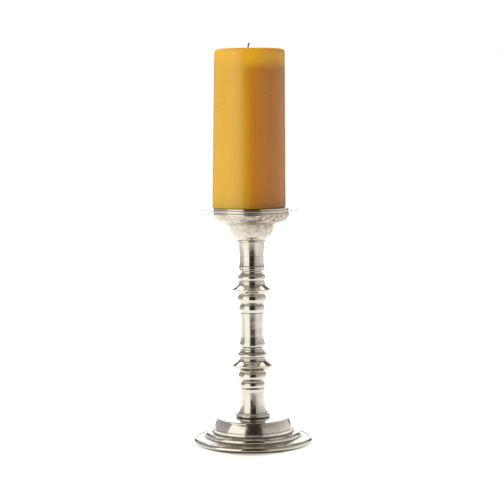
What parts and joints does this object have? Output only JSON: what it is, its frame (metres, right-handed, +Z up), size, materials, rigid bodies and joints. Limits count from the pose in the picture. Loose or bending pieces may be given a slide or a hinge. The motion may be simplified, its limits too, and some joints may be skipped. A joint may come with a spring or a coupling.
{
  "type": "pillar candlestick",
  "caption": "Turned pewter candlestick with stacked stem and knops, a drip plate and pricket, carrying a lift-off pillar candle.",
  "frame": {"origin": "centre of the foot's underside, on the surface it stands on", "axes": "+Z up along the stick's turning axis; the picture looks along +Y"},
  "size_m": [0.1256, 0.1256, 0.4186],
  "materials": {
    "pewter": "polished pewter",
    "steel": "plain steel",
    "beeswax": "smooth amber wax",
    "cotton": "charred cotton"
  },
  "bodies": {
    "stand": {"foot": "pewter", "lower_stem": "pewter", "lower_knop": "pewter", "middle_stem": "pewter", "upper_knop": "pewter", "upper_stem": "pewter", "cup": "pewter", "drip_plate": "pewter", "pricket": "steel", "tie_rod": "steel", "spreader_washer": "steel", "lock_washer": "steel", "hex_nut": "steel"},
    "candle": {"candle": "beeswax", "wick": "cotton"}
  },
  "joints": [
    {"name": "candle_lift", "type": "slide", "parent": "stand", "child": "candle", "axis": [0, 0, 1], "range_m": [0, 0.06]}
  ]
}
